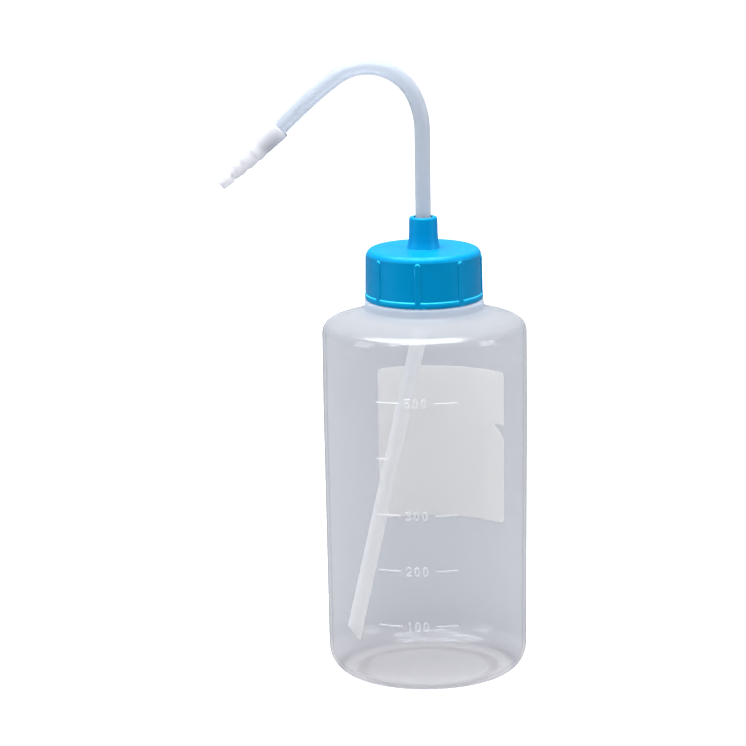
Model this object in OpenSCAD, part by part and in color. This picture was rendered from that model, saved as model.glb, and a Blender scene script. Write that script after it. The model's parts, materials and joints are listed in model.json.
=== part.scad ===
// Laboratory wash bottle, 500 ml: round squeeze bottle, ribbed screw cap with a tower,
// one-piece spout and dip tube, stepped jet nozzle. Millimetres, +Z up, the base foot on z = 0
// and centred on the origin. The spout reaches toward -X and lies in the XZ plane.

/* [Bottle] */
// Outer radius of the barrel just above the base corner
base_r = 39.0; // [36:0.5:42]
// Outer radius of the barrel under the shoulder
barrel_r = 39.8; // [37:0.1:43]
// Height where the barrel meets the shoulder corner
barrel_top_z = 136.4; // [110:0.2:150]
// Radius of the rounded corner at the base
base_corner_r = 10.5; // [6:0.5:13]
// Radius of the rounded shoulder corner
shoulder_corner_r = 4.9; // [3:0.1:8]
// Slope of the shoulder above the horizontal, degrees
shoulder_slope = 17; // [10:1:28]
// Wall thickness of the bottle
wall = 1.3; // [0.9:0.1:2]
// Height where the barrel's taper ends and its straight upper part begins
taper_top_z = 106; // [60:2:120]

/* [Graduations] */
// Height of the lowest graduation line
grad_first_z = 28.0; // [20:0.5:34]
// Height between graduation lines
grad_step = 22.05; // [18:0.05:24]
// Number of graduation lines
grad_count = 5; // [1:1:5]
// How far a graduation line stands out of the wall
grad_proud = 0.28; // [0.1:0.02:0.5]
// Height of a graduation line
grad_line_h = 0.7; // [0.3:0.1:1.5]

/* [Label] */
// Height of the label's lower edge
label_z = 52; // [30:0.5:60]
// Height of the label
label_h = 61.7; // [20:0.1:75]
// Angle the label wraps round the back of the barrel, degrees
label_wrap = 79.7; // [20:0.1:100]
// Angle of the label's middle from +Y toward +X, degrees
label_turn = 12.6; // [-30:0.1:30]
// Thickness of the label
label_t = 0.12; // [0.08:0.01:0.3]

/* [Neck] */
// Outer radius of the neck band below the cap
neck_band_r = 23.2; // [21:0.1:24]
// Outer radius of the neck tube under its thread
neck_r = 19.6; // [18:0.1:20]
// Bore radius of the neck
neck_bore_r = 17.6; // [14:0.1:17.8]
// Height of the neck's rim
neck_top_z = 166.4; // [165:0.1:167]
// Pitch of the neck and cap threads
thread_pitch = 4; // [3:0.5:5]
// Radial height of a thread ridge
thread_h = 1.15; // [0.6:0.05:1.3]
// Turns of thread on the neck and in the cap
thread_turns = 1.75; // [1:0.25:2]

/* [Screw cap] */
// Bottom of the cap's skirt
cap_bottom_z = 149.2; // [149:0.1:151]
// Height of the cap's flat deck
cap_deck_z = 169.2; // [168.6:0.1:171]
// Outer radius of the cap's skirt
cap_r = 22.3; // [22.1:0.05:23]
// Outer radius of the bead round the bottom of the skirt
cap_bead_r = 22.95; // [22.85:0.05:23.5]
// Number of grip ribs
rib_count = 8; // [4:1:24]
// Width of a grip rib
rib_w = 2.0; // [1:0.1:3]
// How far a grip rib stands out of the skirt
rib_proud = 0.45; // [0.2:0.05:0.6]
// Height of the tower's top
tower_top_z = 181.5; // [176:0.5:190]
// Tower radius at its top
tower_r = 5.5; // [5:0.1:6]

/* [Delivery tube] */
// Outer radius of the tube
tube_r = 3.0; // [2.5:0.05:3.2]
// Bore radius of the tube
tube_bore_r = 2.0; // [1.4:0.1:2.2]
// Height where the spout's upright ends
upright_top_z = 215; // [200:1:240]
// Bend radius of the first part of the spout's arch
arch_a_r = 32; // [20:1:50]
// Turn of the first part of the arch, degrees
arch_a_turn = 24; // [10:1:40]
// Bend radius of the arch's crown
arch_b_r = 20; // [14:0.5:30]
// Turn of the crown, degrees
arch_b_turn = 102.5; // [80:0.5:110]
// Bend radius of the long easing below the crown
arch_c_r = 150; // [80:5:250]
// Turn of the easing, degrees
arch_c_turn = 7.4; // [2:0.2:10]
// Straight length at the spout's free end
spout_end_l = 19.4; // [16:0.2:26]
// Lean of the dip tube below the neck, degrees
dip_lean = 12.75; // [0:0.25:13.5]
// Straight length of the leaning dip tube, to the middle of its bevelled end
dip_l = 127.4; // [80:0.2:130]
// Angle of the bevel cut across the dip tube's end, degrees
dip_bevel = 40.6; // [0:0.2:45]

/* [Nozzle] */
// Overall length of the nozzle
nozzle_l = 32; // [30:0.5:40]
// Outer radius at the nozzle's mouth
nozzle_mouth_r = 4.2; // [3.9:0.05:4.8]
// How far the tube runs into the nozzle
nozzle_grip_l = 9.8; // [8:0.2:10]
// Radius of the jet hole in the nozzle's end
jet_r = 0.75; // [0.4:0.05:1]

/* [Hidden] */
$fn = 96;
arc_steps = 10;            // points along a rounded corner of a profile
run_fit = 0.04;            // radial clearance where the tube turns in the tower
nozzle_fit = 0.02;         // radial clearance of the nozzle on the tube
flat_fit = 0.05;           // gap between flat faces of pieces that move apart
free_gap = 0.3;            // gap between round faces of pieces that move apart

shoulder_cx = barrel_r - shoulder_corner_r;
shoulder_tx = shoulder_cx + shoulder_corner_r * sin(shoulder_slope);
shoulder_tz = barrel_top_z + shoulder_corner_r * cos(shoulder_slope);
base_land_r = base_r - base_corner_r;
band_bottom_z = shoulder_tz + (shoulder_tx - neck_band_r) * tan(shoulder_slope);
band_top_z = cap_bottom_z - 0.35;
inner_flare_r = neck_bore_r + 1.6;
inner_corner_r = base_corner_r - wall;
inner_floor_z = wall + 0.2;

thread_root_half = 1.2;    // half height of a thread ridge at its root
thread_crest_half = 0.45;  // half height of a thread ridge at its crest
thread_bite = 0.25;        // how far a ridge's root is sunk in its wall
thread_segs = 40;          // steps of a thread ridge in one turn
thread_fade = 5;           // steps over which a ridge's end fades in
neck_thread_z = 153.6;     // centre height of the neck ridge's lower end
cap_thread_z = 151.6;      // centre height of the cap ridge's lower end

cap_bore_r = neck_r + thread_h + free_gap;
cap_ceiling_z = neck_top_z + 1.1;
cap_edge_r = 2.6;          // rounding of the cap's top edge
bead_top_z = cap_bottom_z + 2.7;
rib_top_z = 165.8;         // centre of a rib's rounded top
rib_first = -97.1;         // angle of the first rib
bead_top_round = 0.6;      // bevel of the bead's top edge
bead_foot_round = 1.0;     // bevel of its bottom edge
rib_root = 0.6;            // how far a rib is sunk in the skirt
tower_root_r = 6.4;        // tower radius where it meets the deck
tower_flare_h = 2.1;       // height of the tower's flared foot
tower_mouth_r = 3.9;       // radius of the recess round the tube at the tower's top
tower_mouth_h = 1.4;       // its depth

liner_r = cap_bore_r - free_gap;
liner_hole_r = 8.5;
liner_t = cap_ceiling_z - neck_top_z - 2 * flat_fit;

dip_bend_z = 148;          // height where the tube bends under the neck
dip_bend_r = 40;           // bend radius of the tube under the neck
bore_over = 2;             // how far a bore's cutter runs past an open end
joint_gap = 0.02;          // gap between pieces of the tube, filled by a collar
collar_half = 0.25;        // half length of that collar
collar_step = 0.01;        // how far the collar stands past the tube's wall
bevel_cut = 4 * tube_r;    // half width of the block that cuts the dip tube's bevel

label_gap = 0.02;          // glue between the label and the barrel
label_corner_r = 1.8;      // rounding of the label's corners
label_cut_z = 40.2;        // height of the cut in one edge, above the label's lower edge
label_cut_h = 6;           // how tall that cut is at the edge
label_cut_l = 5;           // how deep it is
label_spare = 3;           // angle by which the uncut sheet is longer at each end

grad_left = [-28.5, -15.5];
grad_right = [4.5, 16.5];
grad_short = [-28.5, -22];
short_line = 3;            // counted from 0: the line that has only a short dash
grad_root = 0.5;           // how far a dash is sunk in the wall

// Straight runs are [0, length]; bends toward -X are [1, bend radius, angle].
// The spout's route goes up from the bend under the neck, the dip tube's goes down from it.
spout_route = [[0, upright_top_z - dip_bend_z], [1, arch_a_r, arch_a_turn],
               [1, arch_b_r, arch_b_turn], [1, arch_c_r, arch_c_turn]];
dip_route = [[1, dip_bend_r, dip_lean]];

// Points of a circular arc in a profile, from angle a0 to angle a1.
function arc_pts(cx, cy, r, a0, a1, n = arc_steps) =
    [for (i = [0:n]) let (a = a0 + (a1 - a0) * i / n) [cx + r * cos(a), cy + r * sin(a)]];

// Barrel radius at height z: a slight taper below, straight above.
function barrel_at(z) =
    z > taper_top_z ? barrel_r
    : base_r + (barrel_r - base_r) * (z - base_corner_r) / (taper_top_z - base_corner_r);

// Height of the shoulder's cone at radius r, moved inward by t.
function shoulder_at(r, t) = shoulder_tz + (shoulder_tx - r) * tan(shoulder_slope) - t / cos(shoulder_slope);

// Outside of the bottle, from the middle of the base up to the rim.
function outer_skin() = concat(
    [[0, 0]],
    arc_pts(base_land_r, base_corner_r, base_corner_r, -90, 0),
    [[barrel_r, taper_top_z]],
    arc_pts(shoulder_cx, barrel_top_z, shoulder_corner_r, 0, 90 - shoulder_slope, 6),
    [[neck_band_r, band_bottom_z], [neck_band_r, band_top_z - 0.4],
     [neck_band_r - 0.4, band_top_z], [neck_r, band_top_z],
     [neck_r, neck_top_z - 0.5], [neck_r - 0.5, neck_top_z]]);

// Inside of the bottle, from the rim down to the middle of the floor.
function inner_skin() = concat(
    [[neck_bore_r + 0.5, neck_top_z], [neck_bore_r, neck_top_z - 0.5],
     [neck_bore_r, shoulder_at(inner_flare_r, wall) + 2.2],
     [inner_flare_r, shoulder_at(inner_flare_r, wall)]],
    arc_pts(shoulder_cx, barrel_top_z, shoulder_corner_r - wall, 90 - shoulder_slope, 0, 6),
    [[barrel_r - wall, taper_top_z]],
    arc_pts(base_land_r, inner_corner_r + inner_floor_z, inner_corner_r, 0, -90),
    [[0, inner_floor_z]]);

// A thread ridge wound right-handed round Z from height z0: h > 0 stands out, h < 0 stands in.
module thread_ridge(r, h, z0, turns) {
    n = ceil(turns * thread_segs);
    root = r - sign(h) * thread_bite;
    pts = [for (i = [0:n])
        let (a = 360 * i / thread_segs)
        let (z = z0 + thread_pitch * i / thread_segs)
        let (k = max(0.1, min(1, min(i, n - i) / thread_fade)))
        for (p = [[root, -thread_root_half * k], [r + h * k, -thread_crest_half * k],
                  [r + h * k, thread_crest_half * k], [root, thread_root_half * k]])
            [p[0] * cos(a), p[0] * sin(a), z + p[1]]];
    skin = [for (i = [0:n - 1]) for (j = [0:3])
        let (b = 4 * i)
        let (m = (j + 1) % 4)
        each [[b + j, b + m, b + 4 + m], [b + j, b + 4 + m, b + 4 + j]]];
    ends = [[0, 2, 1], [0, 3, 2], [4 * n, 4 * n + 1, 4 * n + 2], [4 * n, 4 * n + 2, 4 * n + 3]];
    all = concat(skin, ends);
    polyhedron(points = pts, faces = h > 0 ? all : [for (f = all) [f[2], f[1], f[0]]], convexity = 6);
}

// A raised dash on the barrel between two angles measured from -Y toward +X.
module grad_dash(z, from, to) {
    r = barrel_at(z);
    rotate([0, 0, from - 90])
        rotate_extrude(angle = to - from)
            polygon([[r - grad_root, z - grad_line_h / 2],
                     [r + grad_proud, z - grad_line_h / 2 + 0.1],
                     [r + grad_proud, z + grad_line_h / 2 - 0.1],
                     [r - grad_root, z + grad_line_h / 2]]);
}

// The squeeze bottle: one blown wall with its neck, thread ridge and graduation dashes.
module bottle() {
    color([0.84, 0.88, 0.92, 0.55]) {
        rotate_extrude()
            polygon(concat(outer_skin(), inner_skin()));
        thread_ridge(neck_r, thread_h, neck_thread_z, thread_turns);
        for (i = [0:grad_count - 1]) {
            left = i == short_line ? grad_short : grad_left;
            grad_dash(grad_first_z + i * grad_step, left[0], left[1]);
            if (i != short_line)
                grad_dash(grad_first_z + i * grad_step, grad_right[0], grad_right[1]);
        }
    }
}

// The label's outline seen square on: a rounded rectangle with a small cut in one edge.
module label_outline(w) {
    r = label_corner_r;
    difference() {
        union() {
            translate([-w / 2 + r, 0])
                square([w - 2 * r, label_h]);
            translate([-w / 2, r])
                square([w, label_h - 2 * r]);
            for (x = [-w / 2 + r, w / 2 - r], y = [r, label_h - r])
                translate([x, y])
                    circle(r = r);
        }
        polygon([[-w / 2 - 1, label_cut_z], [-w / 2 + label_cut_l, label_cut_z],
                 [-w / 2 + label_cut_l * 0.5, label_cut_z - label_cut_h * 0.4],
                 [-w / 2, label_cut_z - label_cut_h], [-w / 2 - 1, label_cut_z - label_cut_h]]);
    }
}

// The blank label glued round the back of the barrel.
module label() {
    top_z = label_z + label_h;
    glued_r = function(z) barrel_at(z) + label_gap;
    half_w = (glued_r(top_z) + label_t) * sin(label_wrap / 2);
    color([0.95, 0.95, 0.93])
        rotate([0, 0, 90 - label_turn])
            intersection() {
                rotate([0, 0, -label_wrap / 2 - label_spare])
                    rotate_extrude(angle = label_wrap + 2 * label_spare)
                        polygon([[glued_r(label_z), label_z],
                                 [glued_r(label_z) + label_t, label_z],
                                 if (taper_top_z < top_z && taper_top_z > label_z)
                                     [glued_r(taper_top_z) + label_t, taper_top_z],
                                 [glued_r(top_z) + label_t, top_z],
                                 [glued_r(top_z), top_z],
                                 if (taper_top_z < top_z && taper_top_z > label_z)
                                     [glued_r(taper_top_z), taper_top_z]]);
                translate([0, 0, label_z])
                    rotate([90, 0, 90])
                        linear_extrude(height = 2 * barrel_r)
                            label_outline(2 * half_w);
            }
}

// The cap's own revolved shape: skirt with bead, rounded top edge, deck and bored tower.
module cap_body() {
    rotate_extrude()
        polygon(concat(
            [[cap_bore_r + 0.6, cap_bottom_z],
             [cap_bead_r - bead_foot_round, cap_bottom_z],
             [cap_bead_r - 0.3, cap_bottom_z + bead_foot_round / 3],
             [cap_bead_r, cap_bottom_z + bead_foot_round],
             [cap_bead_r, bead_top_z - bead_top_round],
             [cap_r + 0.12, bead_top_z]],
            arc_pts(cap_r - cap_edge_r, cap_deck_z - cap_edge_r, cap_edge_r, 0, 90),
            [[tower_root_r + 0.3, cap_deck_z], [tower_root_r, cap_deck_z + 0.3],
             [tower_r + 0.35, cap_deck_z + tower_flare_h],
             [tower_r + 0.1, cap_deck_z + 3 * tower_flare_h],
             [tower_r, tower_top_z - 0.9], [tower_r - 0.25, tower_top_z - 0.3],
             [tower_r - 0.9, tower_top_z], [tower_mouth_r, tower_top_z],
             [tower_mouth_r - 0.2, tower_top_z - tower_mouth_h],
             [tube_r + run_fit, tower_top_z - tower_mouth_h],
             [tube_r + run_fit, cap_ceiling_z], [cap_bore_r, cap_ceiling_z],
             [cap_bore_r, cap_bottom_z + 0.6]]));
}

// One grip rib: an upright bar with a rounded top, sunk in the skirt.
module grip_rib() {
    foot_z = cap_bottom_z + bead_foot_round;
    translate([cap_r - rib_root, -rib_w / 2, foot_z])
        cube([rib_root + rib_proud, rib_w, rib_top_z - foot_z]);
    translate([cap_r - rib_root, 0, rib_top_z])
        rotate([0, 90, 0])
            cylinder(h = rib_root + rib_proud, r = rib_w / 2);
}

// The screw cap: ribbed skirt, inner thread ridge, deck, and the tower the tube turns in.
module screw_cap() {
    color([0.1, 0.62, 0.8]) {
        cap_body();
        for (i = [0:rib_count - 1])
            rotate([0, 0, rib_first + i * 360 / rib_count])
                grip_rib();
        thread_ridge(cap_bore_r, -thread_h, cap_thread_z, thread_turns);
    }
}

// The sealing ring between the neck's rim and the cap's ceiling.
module cap_liner() {
    color([0.93, 0.93, 0.9])
        translate([0, 0, neck_top_z + flat_fit])
            difference() {
                cylinder(h = liner_t, r = liner_r);
                translate([0, 0, -bore_over])
                    cylinder(h = liner_t + 2 * bore_over, r = liner_hole_r);
            }
}

// Puts the children at the end of a route that starts at the origin, heading +Z.
module at_end(route, i = 0) {
    if (i >= len(route))
        children();
    else if (route[i][0] == 0)
        translate([0, 0, route[i][1]])
            at_end(route, i + 1)
                children();
    else
        translate([-route[i][1], 0, 0])
            rotate([0, -route[i][2], 0])
                translate([route[i][1], 0, 0])
                    at_end(route, i + 1)
                        children();
}

// The tube's wall in cross-section.
module tube_ring() {
    difference() {
        circle(r = tube_r);
        circle(r = tube_bore_r);
    }
}

// A straight piece of tube of length l.
module straight_tube(l) {
    difference() {
        cylinder(h = l, r = tube_r);
        translate([0, 0, -bore_over])
            cylinder(h = l + 2 * bore_over, r = tube_bore_r);
    }
}

// A bent piece of tube, its start at the origin heading +Z and bending toward -X.
module bent_tube(bend_r, turn) {
    translate([-bend_r, 0, 0])
        rotate([90, 0, 0])
            rotate_extrude(angle = turn)
                translate([bend_r, 0])
                    tube_ring();
}

// The ring of wall that joins one piece of tube to the next.
module joint_collar() {
    translate([0, 0, -collar_half])
        difference() {
            cylinder(h = 2 * collar_half, r = tube_r + collar_step);
            translate([0, 0, -bore_over])
                cylinder(h = 2 * bore_over + 1, r = tube_bore_r - collar_step);
        }
}

// Tube along a route that starts at the origin, with a collar at the start of each piece.
module swept_tube(route) {
    for (i = [0:len(route) - 1])
        at_end([for (k = [0:1:i - 1]) route[k]]) {
            if (route[i][0] == 0)
                straight_tube(route[i][1] - joint_gap);
            else
                bent_tube(route[i][1], route[i][2] - asin(joint_gap / route[i][1]));
            if (i > 0)
                joint_collar();
        }
}

// The one-piece tube: bent spout above, leaning dip tube with a bevelled end below.
module delivery_tube() {
    color([0.8, 0.87, 0.95, 0.7])
        translate([0, 0, dip_bend_z]) {
            swept_tube(concat(spout_route, [[0, spout_end_l]]));
            difference() {
                translate([0, 0, -joint_gap])
                    rotate([180, 0, 0])
                        swept_tube(concat(dip_route, [[0, dip_l + tube_r * tan(dip_bevel) + 1]]));
                rotate([180, 0, 0])
                    at_end(dip_route)
                        translate([0, 0, dip_l])
                            rotate([0, dip_bevel, 0])
                                translate([-bevel_cut, -bevel_cut, 0])
                                    cube(2 * bevel_cut);
            }
            joint_collar();
        }
}

// Outside of the nozzle from its mouth to its end, k times its standard length: a tapered collar,
// three barbs each narrower than the last, a short plain part, a waist and the rounded tip.
function nozzle_skin(k) = [
    [nozzle_mouth_r - 0.25, 0], [nozzle_mouth_r, 0.3],
    [3.7, 10.1 * k], [3.58, 10.5 * k], [3.8, 13.2 * k], [3.74, 13.8 * k],
    [3.34, 14.6 * k], [3.5, 16.6 * k], [3.44, 18 * k], [3.3, 19 * k],
    [2.78, 20.2 * k], [2.98, 21.9 * k], [2.86, 22.9 * k],
    [2.5, 24 * k], [2.5, 25.3 * k], [2.3, 25.8 * k],
    [1.9, 26.4 * k], [1.95, 26.8 * k], [2.4, 27.5 * k], [2.38, 28.2 * k],
    [1.85, 31.5 * k], [1.6, 32 * k]];

// Inside of the nozzle from the jet hole back to the mouth.
function nozzle_inside(k) = [
    [jet_r, 32 * k], [jet_r, 26.5 * k], [jet_r + 0.95, 24.5 * k],
    [tube_bore_r, nozzle_grip_l + 0.6], [tube_bore_r, nozzle_grip_l + flat_fit],
    [tube_r + nozzle_fit, nozzle_grip_l + flat_fit], [tube_r + nozzle_fit, 0.35],
    [tube_r + nozzle_fit + 0.35, 0]];

// The barbed nozzle, pushed over the spout's end, its jet hole on the tube's line.
module nozzle_tip() {
    color([0.93, 0.94, 0.96, 0.85])
        translate([0, 0, dip_bend_z])
            at_end(spout_route)
                translate([0, 0, spout_end_l - nozzle_grip_l])
                    rotate_extrude()
                        polygon(concat(nozzle_skin(nozzle_l / 32), nozzle_inside(nozzle_l / 32)));
}

bottle();
label();
screw_cap();
cap_liner();
delivery_tube();
nozzle_tip();
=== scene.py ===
"""A laboratory wash bottle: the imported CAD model's frame, dressed with detailed meshes and materials.

Distances are metres in the frame's own axes: +Z up the bottle, -X the way the spout reaches, and -Y the
side with the capacity lines. Angles round the bottle are measured from -Y toward +X. An outline is a list
of (radius, height) points. In the materials, a source is a (node, output) pair.
"""

import json
import math

import bpy
from mathutils import Matrix, Vector
from mathutils.geometry import delaunay_2d_cdt


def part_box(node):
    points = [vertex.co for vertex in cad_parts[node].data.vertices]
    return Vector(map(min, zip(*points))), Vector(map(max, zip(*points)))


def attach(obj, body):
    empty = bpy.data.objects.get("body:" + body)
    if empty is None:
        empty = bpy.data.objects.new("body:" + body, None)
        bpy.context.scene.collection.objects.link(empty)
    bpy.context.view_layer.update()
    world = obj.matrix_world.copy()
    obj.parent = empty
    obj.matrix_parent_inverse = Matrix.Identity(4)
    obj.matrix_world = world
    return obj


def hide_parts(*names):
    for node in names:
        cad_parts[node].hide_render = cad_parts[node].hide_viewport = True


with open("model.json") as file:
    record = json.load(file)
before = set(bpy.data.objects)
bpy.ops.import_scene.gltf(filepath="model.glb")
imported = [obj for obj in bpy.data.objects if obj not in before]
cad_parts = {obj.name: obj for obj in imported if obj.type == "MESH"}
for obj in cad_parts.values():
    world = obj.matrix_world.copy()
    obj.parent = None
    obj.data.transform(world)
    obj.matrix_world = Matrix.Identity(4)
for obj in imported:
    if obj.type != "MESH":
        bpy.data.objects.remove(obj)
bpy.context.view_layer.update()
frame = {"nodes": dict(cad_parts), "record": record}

MM = 0.001
TAU = 2 * math.pi

# ---------------------------------------------------------------- sizes

# From the frame.
_, bottle_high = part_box("bottle")
cap_low, cap_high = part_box("screw_cap")
_, tube_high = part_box("delivery_tube")
label_low, label_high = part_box("label")
jet = next(mount for mount in frame["record"]["mounts"] if mount["name"] == "jet_hole")

# Bottle.
barrel_r = bottle_high.x
base_r = barrel_r - 0.8 * MM
base_corner_r = 10.5 * MM
foot_r = base_r - base_corner_r
taper_top_z = 106 * MM
barrel_top_z = 136.4 * MM
shoulder_corner_r = 4.9 * MM
shoulder_slope = math.radians(17)
wall = 1.3 * MM
floor_z = 1.5 * MM
base_recess = 0.6 * MM
neck_top_z = bottle_high.z
neck_r = 19.6 * MM
neck_bore_r = 17.6 * MM
neck_band_r = 23.2 * MM
neck_band_top_z = cap_low.z - 0.35 * MM
lip_round = 0.5 * MM
seam_half_w = 0.35 * MM
seam_proud = 0.06 * MM

# Threads.
thread_pitch = 4 * MM
thread_turns = 1.75
thread_h = 1.15 * MM
bottle_thread_z = 153.6 * MM
cap_thread_z = 151.6 * MM

# Screw cap.
cap_bead_r = cap_high.x
cap_bead_top_z = cap_low.z + 2.7 * MM
cap_r = cap_bead_r - 0.7 * MM
cap_draft = 0.2 * MM
cap_bore_r = 21.05 * MM
cap_deck_z = 169.2 * MM
cap_ceiling_z = neck_top_z + 1.1 * MM
cap_edge_r = 2.6 * MM
tower_r = 5.5 * MM
tower_root_r = 6.4 * MM
tower_bore_r = 3.04 * MM
rib_count = 8
rib_pitch = TAU / rib_count
rib_first = math.radians(-7.1)
rib_w = 2.0 * MM
rib_proud = 0.42 * MM
rib_soft = 0.26 * MM
rib_top_z = 165.8 * MM

# Delivery tube and nozzle.
tube_r = tube_high.y
tube_bore_r = tube_r - 1.0 * MM
bend_z = 148 * MM
dip_bend_r = 40 * MM
dip_bend = math.radians(12.75)
dip_length = 127.4 * MM
dip_bevel = math.radians(40.6)
upright_top_z = 215 * MM
spout_bends = ((32 * MM, 24), (20 * MM, 102.5), (150 * MM, 7.4))
spout_end_length = 19.4 * MM
nozzle_length = 32 * MM
nozzle_grip = 9.8 * MM

# Label: its middle is just off the back of the bottle.
label_t = 0.12 * MM
label_r = barrel_r + 0.03 * MM
label_half_w = 25.59 * MM
label_mid = math.radians(180 - 12.6)
label_corner_r = 1.8 * MM
label_cut_z = label_low.z + 40.2 * MM
label_cut_h = 6 * MM
label_cut_l = 5 * MM

# Capacity marks: a dash, the figures, a dash. The fourth line has only a short dash.
mark_lines = 5
mark_first_z = 28.0 * MM
mark_step = 22.05 * MM
mark_proud = 0.28 * MM
mark_soft = 0.2 * MM
dash_half_h = 0.32 * MM
stroke_half_w = 0.26 * MM
figure_h = 3.3 * MM
figure_w = 2.2 * MM
figure_pitch = 3.15 * MM
figures_mid = math.radians(-6.3)
left_dash = (math.radians(-28.5), math.radians(-15.5))
right_dash = (math.radians(4.5), math.radians(16.5))
short_dash = (math.radians(-28.5), math.radians(-22))
short_index = 3


# ---------------------------------------------------------------- mesh tools


def mm(points):
    """Points given in millimetres, in metres."""
    return [(x * MM, y * MM) for x, y in points]


def oval(cx, cy, rx, ry, start, turn, steps):
    """Points along part of an ellipse, both ends included; start and turn are in degrees."""
    angles = [math.radians(start + turn * i / steps) for i in range(steps + 1)]
    return [(cx + rx * math.cos(a), cy + ry * math.sin(a)) for a in angles]


def arc(cx, cy, r, start, end, steps):
    """Points of a circular arc from one angle to another, in degrees."""
    return oval(cx, cy, r, r, start, end - start, steps)


def smooth_step(x):
    """0 up to x = 0, 1 from x = 1, and a smooth rise between them."""
    x = min(max(x, 0.0), 1.0)
    return x * x * (3 - 2 * x)


def resampled(points, longest):
    """The same outline with no piece longer than the given length."""
    out = [points[0]]
    for (ax, ay), (bx, by) in zip(points, points[1:]):
        n = max(1, math.ceil(math.dist((ax, ay), (bx, by)) / longest))
        out += [(ax + (bx - ax) * i / n, ay + (by - ay) * i / n) for i in range(1, n + 1)]
    return out


def turned(r, angle, z):
    """The point at a radius, an angle from -Y toward +X, and a height."""
    return (r * math.sin(angle), -r * math.cos(angle), z)


def new_piece(name, shape, body, node, materials, material_of=None, sharp=50):
    """A mesh that rides on a body and stands for a CAD node, smooth but for edges sharper than sharp."""
    verts, faces = shape
    mesh = bpy.data.meshes.new(name)
    mesh.from_pydata(verts, [], faces)
    mesh.validate()
    mesh.polygons.foreach_set("use_smooth", [True] * len(mesh.polygons))
    for material in materials:
        mesh.materials.append(material)
    if material_of is not None:
        chosen = [material_of(i) for i in range(len(mesh.polygons))]
        mesh.polygons.foreach_set("material_index", chosen)
    mesh.set_sharp_from_angle(angle=math.radians(sharp))
    mesh.update()
    piece = bpy.data.objects.new(name, mesh)
    bpy.context.scene.collection.objects.link(piece)
    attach(piece, body)
    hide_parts(node)


def revolved(rows, angles, radius_at=None, ring=True):
    """Vertices and faces of an outline turned round Z; radius_at(row, angle, r, z) may move a point.

    Faces come row by row and look away from the solid when the outline runs up its outside. The outline of
    a ring closes on itself. Otherwise a fan to the axis closes its start, and then one closes its end.
    """
    columns = len(angles)
    verts = []
    for i, (r, z) in enumerate(rows):
        verts += [turned(radius_at(i, a, r, z) if radius_at else r, a, z) for a in angles]
    faces = []
    for i in range(len(rows) if ring else len(rows) - 1):
        low, high = i * columns, (i + 1) % len(rows) * columns
        for j in range(columns):
            k = (j + 1) % columns
            faces.append((low + j, low + k, high + k, high + j))
    if not ring:
        top = (len(rows) - 1) * columns
        verts += [(0, 0, rows[0][1]), (0, 0, rows[-1][1])]
        faces += [(len(verts) - 2, (j + 1) % columns, j) for j in range(columns)]
        faces += [(len(verts) - 1, top + j, top + (j + 1) % columns) for j in range(columns)]
    return verts, faces


def thread_ridge(r, h, start_z):
    """A rounded right-handed thread ridge with faded ends, standing out by h, or in if h is negative."""
    lower = [(-0.2, -1.2), (0.55, -0.85), (0.92, -0.5)]
    section = lower + [(1.0, 0.0)] + [(out, -up) for out, up in reversed(lower)]
    steps_a_turn = 72
    fade_steps = 9
    least = 0.12
    n = int(thread_turns * steps_a_turn)
    m = len(section)
    verts, faces = [], []
    for i in range(n + 1):
        angle = math.pi / 2 + TAU * i / steps_a_turn
        z = start_z + thread_pitch * i / steps_a_turn
        size = max(least, smooth_step(min(i, n - i) / fade_steps))
        for out, up in section:
            verts.append(turned(r + h * out * (size if out > 0 else 1), angle, z + up * MM * size))
    for i in range(n):
        for j in range(m):
            k = (j + 1) % m
            faces.append((i * m + j, (i + 1) * m + j, (i + 1) * m + k, i * m + k))
    faces += [tuple(range(m)), tuple(n * m + j for j in reversed(range(m)))]
    if h < 0:
        faces = [face[::-1] for face in faces]
    return verts, faces


def joined(first, second):
    """Two shapes as one, with the first one's faces first."""
    verts, faces = first
    more_verts, more_faces = second
    return verts + more_verts, faces + [tuple(i + len(verts) for i in face) for face in more_faces]


# ---------------------------------------------------------------- node helpers


def new_material(name):
    """An empty material with its node tree, and the source of its object coordinates."""
    material = bpy.data.materials.new(name)
    material.use_nodes = True
    nt = material.node_tree
    nt.nodes.clear()
    return material, nt, (nt.nodes.new("ShaderNodeTexCoord"), "Object")


def feed(nt, value, node, socket):
    """Sets one input to a number or colour, or links it to a source."""
    target = node.inputs[socket]
    if isinstance(value, tuple) and isinstance(value[0], bpy.types.Node):
        nt.links.new(value[0].outputs[value[1]], target)
    elif target.type == "RGBA":
        target.default_value = (*value, 1)
    else:
        target.default_value = value


def add(nt, kind, out, **values):
    """The source of a new node whose properties and inputs are given by name."""
    node = nt.nodes.new(kind)
    for key, value in values.items():
        if hasattr(node, key):
            setattr(node, key, value)
        else:
            feed(nt, value, node, key.replace("_", " "))
    return node, out


def to_output(nt, kind, shader):
    feed(nt, shader, nt.nodes.new(kind), "Surface")


def noise(nt, coords, scale, detail=3.0, roughness=0.5, distortion=0.0):
    return add(nt, "ShaderNodeTexNoise", "Fac", Vector=coords, Scale=scale, Detail=detail,
               Roughness=roughness, Distortion=distortion)


def ranged(nt, source, low, high, to_low, to_high):
    """A source carried from one range to another, and held at its ends."""
    return add(nt, "ShaderNodeMapRange", "Result", Value=source, From_Min=low, From_Max=high,
               To_Min=to_low, To_Max=to_high)


def varied(nt, pattern, low, high):
    """A value that follows a noise from one limit to the other."""
    return ranged(nt, pattern, 0.3, 0.7, low, high)


def maths(nt, operation, first, second):
    node, out = add(nt, "ShaderNodeMath", "Value", operation=operation)
    feed(nt, first, node, 0)
    feed(nt, second, node, 1)
    return node, out


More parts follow.
